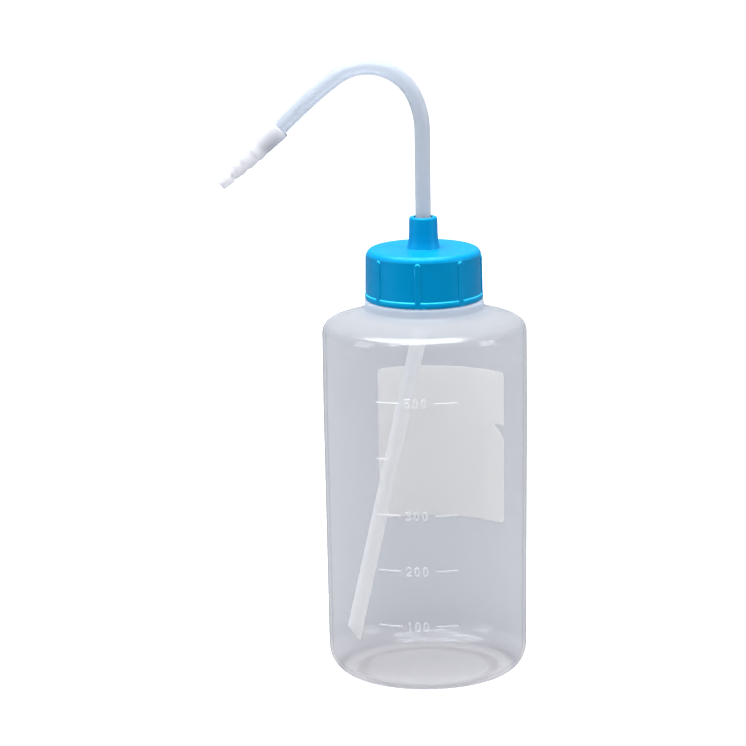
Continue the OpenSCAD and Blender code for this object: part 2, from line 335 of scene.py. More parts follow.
def mixed(nt, share, first, second):
    """A mix of two colours; share is how much of the second."""
    node = nt.nodes.new("ShaderNodeMix")
    node.data_type = "RGBA"
    factor, colour_a, colour_b, result = 0, 6, 7, 2
    feed(nt, share, node, factor)
    feed(nt, first, node, colour_a)
    feed(nt, second, node, colour_b)
    return node, result


def blended(nt, share, first, second):
    """A mix of two shaders; share is how much of the second."""
    node = nt.nodes.new("ShaderNodeMixShader")
    for socket, value in enumerate((share, first, second)):
        feed(nt, value, node, socket)
    return node, "Shader"


def bump(nt, source, strength, distance, under=None):
    """A relief, on top of another one if that is given."""
    node, out = add(nt, "ShaderNodeBump", "Normal", Height=source, Strength=strength, Distance=distance)
    if under is not None:
        feed(nt, under, node, "Normal")
    return node, out


# ---------------------------------------------------------------- materials

CLEAR_TINT = (0.99, 0.99, 0.995)
RIM_CLEAR_TINT = (0.60, 0.61, 0.65)
# RIM_COLOUR darkens toward the rim, and also paints the contact shadow at the bottle's foot.
RIM_COLOUR = (0.36, 0.37, 0.42)
LEAST_GLOSS = 0.12
BAND_GLOSS = 0.1


def milky_plastic(name, colours, clear, shine_rough, through, rim_from=0.7, gloss_high=0.35,
                  thick=None, painted_light_below=None, band=None, foot=None):
    """Translucent polyethylene: part clear, part scattering light from both sides, with a soft gloss.

    clear is the share that passes straight through, seen square on and at a glance, and through the share
    of the rest that glows from behind. The rim darkens from rim_from to 1, where 0 is square on and 1 is
    at a glance. The last four change it by height, and begin with the heights where the change starts and
    is complete: thick has the least scattering above; the second is painted light, a paler colour below,
    where the rim stays light; the third is a painted shade of the cap, a blue-grey colour above, where
    the gloss goes; and the fourth is a painted contact shadow, partly standing for thicker plastic there,
    that darkens the bottom corner between three heights.
    """
    material, nt, coords = new_material(name)
    height = add(nt, "ShaderNodeSeparateXYZ", "Z", Vector=coords)
    cloud = noise(nt, coords, 22.0, 2.0)
    fine = noise(nt, coords, 900.0, 4.0, 0.6)
    slow = noise(nt, coords, 60.0)
    relief = bump(nt, fine, 0.35, 0.00002, bump(nt, slow, 0.25, 0.0002))
    facing = add(nt, "ShaderNodeLayerWeight", "Facing", Blend=0.35)
    sheen = maths(nt, "POWER", add(nt, "ShaderNodeLayerWeight", "Facing", Blend=0.25), 4.0)

    colour = mixed(nt, cloud, *colours)
    rim = ranged(nt, facing, rim_from, 1.0, 0.0, 1.0)
    solid = ranged(nt, facing, 0.0, 1.0, 1 - clear[0], 1 - clear[1])
    shine = ranged(nt, sheen, 0.0, 1.0, gloss_high * LEAST_GLOSS, gloss_high)
    if thick is not None:
        low_z, high_z, least = thick
        solid = maths(nt, "MAXIMUM", solid, ranged(nt, height, low_z, high_z, 0.0, least))
    # Painted light: below these heights, inside the bottle, the tube is paler and its rim stays light.
    if painted_light_below is not None:
        low_z, high_z, painted_lit_colour = painted_light_below
        above = ranged(nt, height, low_z, high_z, 0.0, 1.0)
        colour = mixed(nt, above, painted_lit_colour, colour)
        rim = maths(nt, "MULTIPLY", rim, above)
    # Painted shade of the cap: the colour turns blue-grey just under it, like its shadow and blue
    # reflection, and the gloss fades.
    if band is not None:
        low_z, high_z, cap_shade_colour = band
        colour = mixed(nt, ranged(nt, height, low_z, high_z, 0.0, 1.0), colour, cap_shade_colour)
        shine = maths(nt, "MULTIPLY", shine, ranged(nt, height, low_z, high_z, 1.0, BAND_GLOSS))
    # Painted contact shadow: the bottom corner darkens, partly standing for thicker plastic there.
    if foot is not None:
        low_z, darkest_z, high_z, painted_shadow_strength = foot
        starting = ranged(nt, height, low_z, darkest_z, 0.0, 1.0)
        fading = ranged(nt, height, darkest_z, high_z, painted_shadow_strength, 0.0)
        rim = maths(nt, "MAXIMUM", rim, maths(nt, "MULTIPLY", fading, starting))

    # Darkening toward the rim, which at the bottle's foot includes the painted contact shadow.
    colour = mixed(nt, rim, colour, RIM_COLOUR)
    scatter = add(nt, "ShaderNodeBsdfDiffuse", "BSDF", Color=colour, Roughness=0.0, Normal=relief)
    glow = add(nt, "ShaderNodeBsdfTranslucent", "BSDF", Color=colour, Normal=relief)
    window = add(nt, "ShaderNodeBsdfTransparent", "BSDF", Color=mixed(nt, rim, CLEAR_TINT, RIM_CLEAR_TINT))
    body = blended(nt, solid, window, blended(nt, through, scatter, glow))
    rough = varied(nt, cloud, shine_rough * 0.85, shine_rough * 1.2)
    gloss = add(nt, "ShaderNodeBsdfGlossy", "BSDF", Color=(1, 1, 1), Roughness=rough, Normal=relief)
    to_output(nt, "ShaderNodeOutputMaterial", blended(nt, shine, body, gloss))
    return material


def cap_plastic(name, deep, pale):
    """Moulded blue polypropylene: satin, with faint flow swirls, a painted highlight on convex edges and
    painted shade in grooves.
    """
    material, nt, coords = new_material(name)
    cloud = noise(nt, coords, 45.0, 4.0)
    flow = noise(nt, coords, 90.0, distortion=2.2)
    fine = noise(nt, coords, 1500.0, roughness=0.6)
    swirl = add(nt, "ShaderNodeTexWave", "Fac", wave_type="RINGS", rings_direction="Z", Vector=coords,
                Scale=75.0, Distortion=5.0, Detail=2.0)
    pointed = add(nt, "ShaderNodeNewGeometry", "Pointiness")
    streaks = ranged(nt, swirl, 0.55, 1.0, 0.0, 0.10)
    # Painted shade in concave creases and grooves, found from the mesh's pointiness.
    painted_crease_shade = ranged(nt, pointed, 0.44, 0.485, 0.55, 0.0)
    # Painted highlight on convex edges.
    edges = ranged(nt, pointed, 0.52, 0.58, 0.0, 0.6)
    colour = mixed(nt, cloud, deep, pale)
    # The real flow streaks and the painted crease shade share one dark colour.
    colour = mixed(nt, maths(nt, "MAXIMUM", streaks, painted_crease_shade), colour, (0.0, 0.12, 0.27))
    colour = mixed(nt, edges, colour, (0.03, 0.62, 0.90))
    skin = add(nt, "ShaderNodeBsdfPrincipled", "BSDF", Base_Color=colour, IOR=1.49,
               Roughness=varied(nt, flow, 0.30, 0.42),
               Normal=bump(nt, fine, 0.25, 0.00002, bump(nt, flow, 0.2, 0.0001)),
               Specular_IOR_Level=0.4, Specular_Tint=(0.06, 0.85, 0.95),
               Subsurface_Weight=0.05, Subsurface_Radius=(0.15, 0.6, 1.0), Subsurface_Scale=0.0015)
    to_output(nt, "ShaderNodeOutputMaterial", skin)
    return material


def label_paper():
    """Blank coated paper that glows when it is lit from behind, with fibres in its relief."""
    material, nt, coords = new_material("label_coated_paper")
    fibres = noise(nt, coords, 700.0, 5.0, 0.65)
    stain = noise(nt, coords, 40.0)
    colour = mixed(nt, stain, (0.98, 0.955, 0.92), (0.99, 0.97, 0.94))
    skin = add(nt, "ShaderNodeBsdfPrincipled", "BSDF", Base_Color=colour, Specular_IOR_Level=0.35,
               Roughness=varied(nt, fibres, 0.45, 0.6), Normal=bump(nt, fibres, 0.3, 0.00002))
    glow = add(nt, "ShaderNodeBsdfTranslucent", "BSDF", Color=colour)
    to_output(nt, "ShaderNodeOutputMaterial", blended(nt, 0.5, skin, glow))
    return material


def liner_foam():
    """Soft white foamed polyethylene, matt, with fine cells."""
    material, nt, coords = new_material("liner_foamed_polyethylene")
    cells = add(nt, "ShaderNodeTexVoronoi", "Distance", Vector=coords, Scale=1800.0)
    stain = noise(nt, coords, 60.0)
    skin = add(nt, "ShaderNodeBsdfPrincipled", "BSDF",
               Base_Color=mixed(nt, stain, (0.80, 0.80, 0.76), (0.88, 0.88, 0.85)),
               Roughness=varied(nt, stain, 0.65, 0.8), Normal=bump(nt, cells, 0.5, 0.00006))
    to_output(nt, "ShaderNodeOutputMaterial", skin)
    return material


BOTTLE_COLOURS = (0.97, 0.965, 0.965), (0.95, 0.945, 0.95)
# The outside turns to a painted blue-grey shade of the cap just under the cap, and its bottom corner has a
# painted contact shadow.
ldpe_outer = milky_plastic(
    "bottle_polyethylene_outside", BOTTLE_COLOURS, clear=(0.85, 0.78), shine_rough=0.16, through=0.82,
    thick=(0.135, 0.148, 0.8), band=(0.1436, 0.1456, (0.77, 0.85, 0.95)),
    foot=(0.0008, 0.0016, 0.006, 0.6))
ldpe_inner = milky_plastic(
    "bottle_polyethylene_inside", BOTTLE_COLOURS, clear=(0.98, 0.94), shine_rough=0.5, through=0.82,
    gloss_high=0.08)
ldpe_marks = milky_plastic(
    "bottle_polyethylene_marks", ((0.97, 0.97, 0.98), (0.94, 0.94, 0.96)), clear=(0.55, 0.45),
    shine_rough=0.16, through=0.3)
# The tube is painted paler below the neck, as light on the dip tube inside the bottle.
tube_plastic = milky_plastic(
    "tube_polyethylene", ((0.725, 0.748, 0.79), (0.695, 0.718, 0.76)), clear=(0.44, 0.28),
    shine_rough=0.22, through=0.8, rim_from=0.45, gloss_high=0.1,
    painted_light_below=(0.135, 0.16, (0.96, 0.945, 0.935)))
nozzle_plastic = milky_plastic(
    "nozzle_milky_polyethylene", ((0.88, 0.865, 0.87), (0.84, 0.825, 0.84)), clear=(0.15, 0.1),
    shine_rough=0.3, through=0.72, rim_from=0.38, gloss_high=0.1)
cap_blue = cap_plastic("cap_blue_polypropylene", (0.0, 0.19, 0.405), (0.0, 0.208, 0.44))
# A lighter copy of the cap's plastic, a painted highlight for the bead's bevel and the ribs' rounded tops.
cap_painted_highlight = cap_plastic("cap_painted_highlight_edges", (0.02, 0.44, 0.68), (0.03, 0.48, 0.72))
paper = label_paper()
foam = liner_foam()


# ---------------------------------------------------------------- bottle

# Strokes of the figures in a box from (0, 0) to (1, 1).
FIGURES = {
    "0": [oval(0.5, 0.5, 0.38, 0.5, 0, 360, 20)],
    "1": [[(0.3, 0.8), (0.55, 1.0), (0.55, 0.0)]],
    "2": [oval(0.5, 0.71, 0.38, 0.29, 180, -216, 10) + [(0.12, 0.0), (0.9, 0.0)]],
    "3": [oval(0.48, 0.76, 0.36, 0.24, 153, -243, 8), oval(0.48, 0.26, 0.4, 0.26, 90, -243, 8)],
    "5": [[(0.85, 1.0), (0.2, 1.0), (0.16, 0.56)] + oval(0.47, 0.31, 0.4, 0.31, 129.6, -270, 9)],
}


def barrel_at(z):
    """Radius of the barrel: a slight taper below, straight above."""
    if z >= taper_top_z:
        return barrel_r
    return base_r + (barrel_r - base_r) * (z - base_corner_r) / (taper_top_z - base_corner_r)


def to_segment(p, a, b):
    """Distance from p to the segment ab."""
    dx, dy = b[0] - a[0], b[1] - a[1]
    along = ((p[0] - a[0]) * dx + (p[1] - a[1]) * dy) / (dx * dx + dy * dy)
    along = min(max(along, 0.0), 1.0)
    return math.dist(p, (a[0] + along * dx, a[1] + along * dy))


def mark_strokes(index):
    """The strokes of one capacity line: half width and two ends, in metres round the barrel and up."""
    z = mark_first_z + index * mark_step
    r = barrel_at(z)
    dashes = (short_dash,) if index == short_index else (left_dash, right_dash)
    digits = "" if index == short_index else f"{(index + 1) * 100}"
    strokes = [(dash_half_h, (start * r, z), (end * r, z)) for start, end in dashes]
    for k, digit in enumerate(digits):
        left = figures_mid * r + (k - (len(digits) - 1) / 2) * figure_pitch - figure_w / 2
        for line in FIGURES[digit]:
            placed = [(left + x * figure_w, z + (y - 0.5) * figure_h) for x, y in line]
            strokes += [(stroke_half_w, a, b) for a, b in zip(placed, placed[1:])]
    return strokes


MARKS = [mark_strokes(index) for index in range(mark_lines)]


def mark_height(angle, z):
    """How far the barrel's skin stands out at a point: capacity marks and the mould's two seams."""
    angle = (angle + math.pi) % TAU - math.pi
    from_seam = abs(abs(angle) - math.pi / 2) * barrel_r
    height = seam_proud * smooth_step(1 - from_seam / seam_half_w)
    index = round((z - mark_first_z) / mark_step)
    if 0 <= index < mark_lines and abs(z - mark_first_z - index * mark_step) < figure_h:
        p = (angle * barrel_at(z), z)
        reach = min(to_segment(p, a, b) - half_w for half_w, a, b in MARKS[index])
        height = max(height, mark_proud * smooth_step(0.5 - reach / mark_soft))
    return height


def bottle_angles():
    """Columns round the bottle: fine across the marks and the two seams, coarse elsewhere."""
    fine_from, fine_to = math.radians(-30), math.radians(18)
    fine_n, coarse_n, clearance = 190, 104, 0.012
    fine = [fine_from + (fine_to - fine_from) * i / fine_n for i in range(fine_n + 1)]
    coarse = [fine_to + (TAU - (fine_to - fine_from)) * i / coarse_n for i in range(1, coarse_n)]
    across = [k * seam_half_w / 2 / barrel_r for k in (-2, -1, 0, 1, 2)]
    seams = [quarter * math.pi / 2 + offset for quarter in (1, 3) for offset in across]
    coarse = [a for a in coarse if all(abs(a - seam) > clearance for seam in seams)]
    return sorted(fine + coarse + seams)


def barrel_rows():
    """The barrel's outline: fine across each line of marks, coarse elsewhere."""
    coarse_n, fine_step, clearance = 48, 0.17 * MM, 0.4 * MM
    length = barrel_top_z - base_corner_r
    heights = [base_corner_r + length * i / coarse_n for i in range(1, coarse_n + 1)]
    for index in range(mark_lines):
        mid = mark_first_z + index * mark_step
        half = 0.8 * MM if index == short_index else figure_h / 2 + 0.5 * MM
        n = math.ceil(2 * half / fine_step)
        heights = [z for z in heights if abs(z - mid) > half + clearance]
        heights += [mid - half + 2 * half * k / n for k in range(n + 1)]
    return [(barrel_at(z), z) for z in sorted(heights)]


def shoulder_points(inset):
    """The rounded shoulder corner, moved inward, up to the start of the cone above it."""
    cx = barrel_r - shoulder_corner_r
    return arc(cx, barrel_top_z, shoulder_corner_r - inset, 0, 90 - math.degrees(shoulder_slope), 10)


def cone_z(r, inset):
    """Height of the shoulder's cone at a radius."""
    edge_r, edge_z = shoulder_points(inset)[-1]
    return edge_z + (edge_r - r) * math.tan(shoulder_slope)


def bottle_base():
    """The outside from near the axis, under the recess and round the bottom corner."""
    recess = [(2 * MM, base_recess), (14 * MM, base_recess), (20 * MM, base_recess * 0.85),
              (22.5 * MM, base_recess * 0.3), (24 * MM, 0.0), (26.5 * MM, 0.0)]
    return recess + arc(foot_r, base_corner_r, base_corner_r, -90, 0, 14)


def bottle_top():
    """The outside above the barrel: shoulder, cone and its fillet to the neck's band, band and rim."""
    fillet_l, fillet_h, cone_n = 3 * MM, 0.6 * MM, 8
    shoulder = shoulder_points(0)[1:]
    cone = []
    for k in range(2, cone_n):
        r = barrel_r - (barrel_r - neck_band_r) * k / cone_n
        if r < shoulder[-1][0] - 0.5 * MM:
            lift = fillet_h * smooth_step((neck_band_r + fillet_l - r) / fillet_l) ** 2
            cone.append((r, cone_z(r, 0) + lift))
    band_foot_z = cone_z(neck_band_r, 0)
    band = [(neck_band_r + 0.35 * MM, band_foot_z + 0.45 * MM), (neck_band_r, band_foot_z + 1.0 * MM)]
    band += arc(neck_band_r - lip_round, neck_band_top_z - lip_round, lip_round, 0, 90, 4)
    neck = [(neck_r + 0.4 * MM, neck_band_top_z), (neck_r, neck_band_top_z + 0.4 * MM)]
    neck += [(neck_r, neck_band_top_z + k * 4 * MM) for k in (1, 2, 3, 4)]
    rim = arc(neck_r - lip_round, neck_top_z - lip_round, lip_round, 0, 90, 4)
    return shoulder + cone + band + neck + rim


def bottle_inside():
    """The inside from the rim down to near the middle of the floor."""
    flare_r = neck_bore_r + 1.6 * MM
    flare_z = cone_z(flare_r, wall)
    inner_corner = base_corner_r - wall
    rows = arc(neck_bore_r + lip_round, neck_top_z - lip_round, lip_round, 90, 180, 4)
    rows += resampled([(neck_bore_r, neck_top_z - MM), (neck_bore_r, flare_z + 2.2 * MM)], 4 * MM)
    rows += [(neck_bore_r + 0.3 * MM, flare_z + MM), (flare_r, flare_z)]
    rows += shoulder_points(wall)[::-1]
    barrel = [(barrel_at(z) - wall, z) for z in (barrel_top_z - MM, taper_top_z, 60 * MM, 12 * MM)]
    rows += resampled(barrel, 6 * MM)
    rows += arc(foot_r, inner_corner + floor_z, inner_corner, 0, -90, 12)
    rows += [(20 * MM, floor_z + 0.25 * MM), (14 * MM, floor_z + base_recess)]
    return rows + [(2 * MM, floor_z + base_recess)]


def build_bottle():
    """The blown wall with its marks, seams and neck thread; outside, inside and marks differ in finish."""
    base, barrel = bottle_base(), barrel_rows()
    outside = base + barrel + bottle_top()
    rows = outside + bottle_inside()
    angles = bottle_angles()
    marked_from, marked_to = len(base), len(base) + len(barrel)
    inner_from, floor_fan = len(outside) + 2, len(rows)

    def radius_at(i, angle, r, z):
        return r + mark_height(angle, z) if marked_from <= i < marked_to else r

    def material_of(i):
        row, column = divmod(i, len(angles))
        if inner_from <= row < len(rows) - 1 or row == floor_fan:
            return 1
        if not marked_from <= row < marked_to - 1:
            return 0
        middle = (angles[column] + angles[(column + 1) % len(angles)]) / 2
        middle_z = (rows[row][1] + rows[row + 1][1]) / 2
        return 2 if mark_height(middle, middle_z) > mark_proud * 0.4 else 0

    shell = revolved(rows, angles, radius_at, ring=False)
    shape = joined(shell, thread_ridge(neck_r, thread_h, bottle_thread_z))
    new_piece("squeeze_bottle", shape, "bottle_body", "bottle",
              (ldpe_outer, ldpe_inner, ldpe_marks), material_of)


# ---------------------------------------------------------------- label


def label_outline():
    """The label seen square on from behind, anticlockwise. Its cut, at -X here, is at the bottle's +X."""
    w, r = label_half_w, label_corner_r
    low, high = label_low.z, label_high.z
    points = arc(w - r, low + r, r, -90, 0, 8) + arc(w - r, high - r, r, 0, 90, 8)
    points += arc(-w + r, high - r, r, 90, 180, 8)
    points += [(-w, label_cut_z), (-w + label_cut_l, label_cut_z)]
    points += [(-w + label_cut_l * 0.5, label_cut_z - label_cut_h * 0.4), (-w, label_cut_z - label_cut_h)]
    points += arc(-w + r, low + r, r, 180, 270, 8)
    return resampled(points + points[:1], 1.2 * MM)[:-1]


def label_sheet():
    """The outline filled with triangles small enough to follow the barrel, in the flat."""
    step, clearance = 1.5 * MM, 0.9 * MM
    edge = label_outline()
    inside = []
    for i in range(1, int(2 * label_half_w / step)):
        for j in range(1, int((label_high.z - label_low.z) / step)):
            p = (-label_half_w + i * step, label_low.z + j * step)
            if min(math.dist(p, q) for q in edge) > clearance:
                inside.append(p)
    points = [Vector(p) for p in edge + inside]
    rim = [(k, (k + 1) % len(edge)) for k in range(len(edge))]
    flat, _, triangles, _, _, _ = delaunay_2d_cdt(points, rim, [], 1, 1e-9)
    return flat, triangles


def build_label():
    """The sheet wrapped on the barrel, with its thickness."""
    flat, triangles = label_sheet()
    n = len(flat)
    edges = {(a, b) for t in triangles for a, b in zip(t, t[1:] + t[:1])}
    rim = sorted((a, b) for a, b in edges if (b, a) not in edges)
    verts = []
    for out in (0.0, label_t):
        for u, z in flat:
            angle = label_mid + math.asin(u / (label_r + label_t))
            verts.append(turned(barrel_at(z) + (label_r - barrel_r) + out, angle, z))
    faces = [tuple(n + i for i in t) for t in triangles] + [tuple(reversed(t)) for t in triangles]
    faces += [(a, b, n + b, n + a) for a, b in rim]
    new_piece("blank_paper_label", (verts, faces), "bottle_body", "label", (paper,))


# ---------------------------------------------------------------- screw cap


def rib_height(angle, z):
    """How far a grip rib stands out at a point of the skirt, 0 to 1: a bar with a rounded top."""
    off = ((angle - rib_first + rib_pitch / 2) % rib_pitch - rib_pitch / 2) * cap_r
    reach = math.hypot(off, max(0.0, z - rib_top_z)) - rib_w / 2
    return smooth_step(0.5 - reach / rib_soft)


def cap_angles():
    """Columns round the cap: close together at the sides of each rib."""
    from_rib_mid = (0.4, 0.7, 0.82, 0.87, 0.91, 0.955, 1.0, 1.045, 1.09, 1.13, 1.18, 1.4, 1.8)
    near = [distance * MM / cap_r for distance in from_rib_mid]
    steps = 7
    gap = rib_pitch / 2 - near[-1]
    away = near + [near[-1] + gap * k / steps for k in range(1, steps)]
    offsets = [0.0, rib_pitch / 2] + [side * offset for offset in away for side in (-1, 1)]
    return sorted(rib_first + i * rib_pitch + offset for i in range(rib_count) for offset in offsets)


def cap_foot():
    """The cap's bottom face and its bead, whose bevel is the fourth and fifth row from the end."""
    skirt_foot_r, top = cap_r + cap_draft, cap_bead_top_z
    rows = [(cap_bore_r + 0.6 * MM, cap_low.z), (cap_bead_r - 1.0 * MM, cap_low.z)]
    rows += arc(cap_bead_r - 0.9 * MM, cap_low.z + 0.9 * MM, 0.9 * MM, -75, 0, 6)
    rows += [(cap_bead_r, top - 0.46 * MM), (cap_bead_r - 0.05 * MM, top - 0.34 * MM)]
    rows += [(cap_bead_r - 0.18 * MM, top - 0.2 * MM), (skirt_foot_r + 0.1 * MM, top - 0.02 * MM)]
    rows += [(skirt_foot_r, top + 0.06 * MM), (skirt_foot_r, top + 0.2 * MM)]
    return rows


def cap_skirt():
    """The skirt's side, which leans in a little, with close rows where the ribs end."""
    rows = [(cap_r + cap_draft * (1 - k / 5), cap_bead_top_z + (0.5 + k * 2.4) * MM) for k in range(6)]
    return rows + [(cap_r, rib_top_z + k * 0.12 * MM) for k in range(-1, 12)]


def cap_top():
    """The rounded edge, the deck and the tower, into the mouth of its bore."""
    top = cap_high.z
    edge = arc(cap_r - cap_edge_r, cap_deck_z - cap_edge_r, cap_edge_r, 12, 90, 12)
    deck = [(r * MM, cap_deck_z) for r in (18.5, 17, 15, 13, 11, 9, 7.6)]
    root = arc(tower_root_r + 0.3 * MM, cap_deck_z + 0.3 * MM, 0.3 * MM, 270, 195, 4)
    side = [(tower_root_r - 0.12 * MM, cap_deck_z + 0.7 * MM),
            (tower_root_r - 0.42 * MM, cap_deck_z + 1.7 * MM),
            (tower_r + 0.28 * MM, cap_deck_z + 3.0 * MM), (tower_r + 0.12 * MM, cap_deck_z + 6 * MM)]
    brow = arc(tower_r - 0.8 * MM, top - 0.8 * MM, 0.8 * MM, 0, 90, 7)
    mouth = [(3.95 * MM, top)] + arc(3.6 * MM, top - 0.25 * MM, 0.25 * MM, 60, 0, 3)
    mouth += [(3.75 * MM, top - 1.3 * MM), (tower_bore_r, top - 1.45 * MM)]
    return edge + deck + root + side + brow + mouth


def cap_inside():
    """The tower's bore, the ceiling and the inside of the skirt."""
    rows = [(tower_bore_r, cap_ceiling_z + 0.3 * MM), (3.3 * MM, cap_ceiling_z), (12 * MM, cap_ceiling_z)]
    rows += [(cap_bore_r - 0.4 * MM, cap_ceiling_z), (cap_bore_r, cap_ceiling_z - 0.4 * MM)]
    return rows + [(cap_bore_r, cap_low.z + 0.7 * MM)]


def build_cap():
    """The cap with its ribs and inner thread; the bead's bevel and the ribs' rounded tops get a painted
    highlight.
    """
    foot, skirt = cap_foot(), cap_skirt()
    rows = foot + skirt + cap_top() + cap_inside()
    angles = cap_angles()
    ribbed_from, ribbed_to = 4, len(foot) + len(skirt) + 2
    bevel_from, bevel_to = len(foot) - 5, len(foot) - 3

    def radius_at(i, angle, r, z):
        if not ribbed_from <= i < ribbed_to:
            return r
        lean = min(1.0, max(0.0, (rib_top_z - z) / (rib_top_z - cap_bead_top_z)))
        flush = cap_r + cap_draft * lean + rib_proud
        return r + (flush - r) * rib_height(angle, z)

    # Faces of the bead's bevel and the ribs' rounded tops take the painted highlight.
    def material_of(i):
        row, column = divmod(i, len(angles))
        if row >= ribbed_to:
            return 0
        middle = (angles[column] + angles[(column + 1) % len(angles)]) / 2
        height = rib_height(middle, (rows[row][1] + rows[row + 1][1]) / 2)
        if bevel_from <= row < bevel_to:
            return 1 if height < 0.1 else 0
        return 1 if rows[row][1] > rib_top_z and 0.1 < height < 0.95 else 0

    shape = joined(revolved(rows, angles, radius_at), thread_ridge(cap_bore_r, -thread_h, cap_thread_z))
    new_piece("ribbed_screw_cap", shape, "cap_body", "screw_cap",
              (cap_blue, cap_painted_highlight), material_of)


# ---------------------------------------------------------------- delivery tube


def walked(start, heading, runs, step):
    """Points and headings in the XZ plane along straight runs (length, None) and bends (radius, turn)."""
    x, z = start
    out = [((x, z), heading)]
    for size, turn in runs:
        if turn is None:
            n = max(1, math.ceil(size / step))
            for k in range(1, n + 1):
                gone = size * k / n
                out.append(((x + gone * math.cos(heading), z + gone * math.sin(heading)), heading))
        else:
            r = size if turn > 0 else -size
            cx, cz = x - r * math.sin(heading), z + r * math.cos(heading)
            n = max(2, math.ceil(size * abs(turn) / step))
            for k in range(1, n + 1):
                now = heading + turn * k / n
                out.append(((cx + r * math.sin(now), cz - r * math.cos(now)), now))
        (x, z), heading = out[-1]
    return out


def tube_route():
    """Points and headings from the dip tube's end, through the cap, to the spout's end."""
    step = 2 * MM
    bends = [(r, math.radians(turn)) for r, turn in spout_bends]
    up = walked((0, bend_z), math.pi / 2,
                [(upright_top_z - bend_z, None)] + bends + [(spout_end_length, None)], step)
    down = walked((0, bend_z), -math.pi / 2, [(dip_bend_r, -dip_bend), (dip_length, None)], step)
    return [(place, heading + math.pi) for place, heading in reversed(down[1:])] + up


def tube_ring(place, heading, radius, lean, around):
    """A ring of points round the route; lean moves them along it by their height over its middle."""
    x, z = place
    # How far a point moves along X and Z for each metre of its height over the route's middle.
    dx = lean * math.cos(heading) - math.sin(heading)
    dz = lean * math.sin(heading) + math.cos(heading)
    return [(x + lift * dx, side, z + lift * dz) for side, lift in arc(0, 0, radius, 0, 360, around)[:-1]]


def build_tube():
    """The bent tube, open at both ends, with a slanting cut at the end of the dip tube."""
    around = 40
    route = tube_route()
    layer = len(route) * around
    top = layer - around
    verts, faces = [], []
    for radius in (tube_r, tube_bore_r):
        for i, (place, heading) in enumerate(route):
            verts += tube_ring(place, heading, radius, math.tan(dip_bevel) if i == 0 else 0.0, around)
    for j in range(around):
        k = (j + 1) % around
        for low in range(0, top, around):
            high = low + around
            faces.append((low + k, high + k, high + j, low + j))
            faces.append((layer + low + j, layer + high + j, layer + high + k, layer + low + k))
        faces.append((j, k, layer + k, layer + j))
        faces.append((top + k, top + j, layer + top + j, layer + top + k))
    new_piece("bent_delivery_tube", (verts, faces), "tube_body", "delivery_tube",
              (tube_plastic,))


# ---------------------------------------------------------------- nozzle


def build_nozzle():
    """The stepped nozzle, turned round Z from its mouth at 0 and then laid on the spout's line."""
    socket_r = tube_r + 0.02 * MM
    jet_r = 0.75 * MM
    collar = mm([(4.18, 2), (3.98, 5), (3.79, 8), (3.7, 9.8), (3.62, 10.2), (3.6, 10.5)])
    barbs = mm([(3.66, 11.2), (3.74, 12.2), (3.81, 13), (3.8, 13.5), (3.7, 13.9), (3.42, 14.3),
                (3.36, 14.6), (3.42, 15.4), (3.5, 16.4), (3.5, 17.5), (3.44, 18.3), (3.28, 19),
                (2.95, 19.7), (2.8, 20.2), (2.82, 20.8), (2.94, 21.5), (2.98, 22.2), (2.9, 22.9),
                (2.68, 23.5), (2.52, 24)])
    shank = mm([(2.5, 24.6), (2.5, 25.2), (2.4, 25.6), (2.1, 26), (1.93, 26.4), (1.95, 26.8)])
    tip = mm([(2.15, 27.1), (2.36, 27.5), (2.42, 27.9), (2.36, 28.4), (2.2, 29.4), (2.02, 30.6),
              (1.86, 31.5), (1.72, 31.88)])
    rows = arc(3.9 * MM, 0.3 * MM, 0.3 * MM, -90, 0, 4) + collar + barbs + shank + tip
    rows += [(1.5 * MM, nozzle_length), (0.9 * MM, nozzle_length), (jet_r, nozzle_length - 0.15 * MM)]
    rows += [(jet_r, 26.5 * MM), (1.7 * MM, 24.5 * MM), (tube_bore_r, nozzle_grip + 0.6 * MM)]
    rows += [(tube_bore_r, nozzle_grip + 0.05 * MM), (socket_r, nozzle_grip + 0.05 * MM)]
    rows += [(socket_r, 0.35 * MM), (socket_r + 0.35 * MM, 0.0)]
    around = 64
    verts, faces = revolved(rows, [TAU * j / around for j in range(around)])
    end, out = Vector(jet["pos_m"]), Vector(jet["axis"]).normalized()
    lay = Matrix.Translation(end - out * nozzle_length) @ out.to_track_quat("Z", "Y").to_matrix().to_4x4()
    verts = [tuple(lay @ Vector(v)) for v in verts]
    new_piece("stepped_nozzle", (verts, faces), "nozzle_body", "nozzle_tip",
              (nozzle_plastic,), sharp=60)


def dress(node, material):
    """Gives a CAD node that stays in view its finished material."""
    mesh = frame["nodes"][node].data
    mesh.materials.clear()
    mesh.materials.append(material)


build_bottle()
build_label()
build_cap()
build_tube()
build_nozzle()
dress("cap_liner", foam)

# ---------------------------------------------------------------- stage

# The floor's tones as the bottle shows and mirrors them: painted light in a disc under it, where its
# shadow falls, and darker further out.
SWEEP_PAINTED_LIGHT_NEAR = (0.33, 0.30, 0.295)
SWEEP_FAR = (0.158, 0.152, 0.157)
SWEEP_FROM, SWEEP_TO = 0.029, 0.06
BACKDROP_COLOUR = (0.24, 0.35, 0.46)
ROOM_COLOUR = (0.56, 0.56, 0.56)


def straight_to_camera(nt):
    """1 where the camera looks at a surface directly, 0 through the bottle or for any other ray."""
    path = nt.nodes.new("ShaderNodeLightPath")
    unobstructed = maths(nt, "LESS_THAN", (path, "Transparent Depth"), 0.5)
    return maths(nt, "MULTIPLY", (path, "Is Camera Ray"), unobstructed)


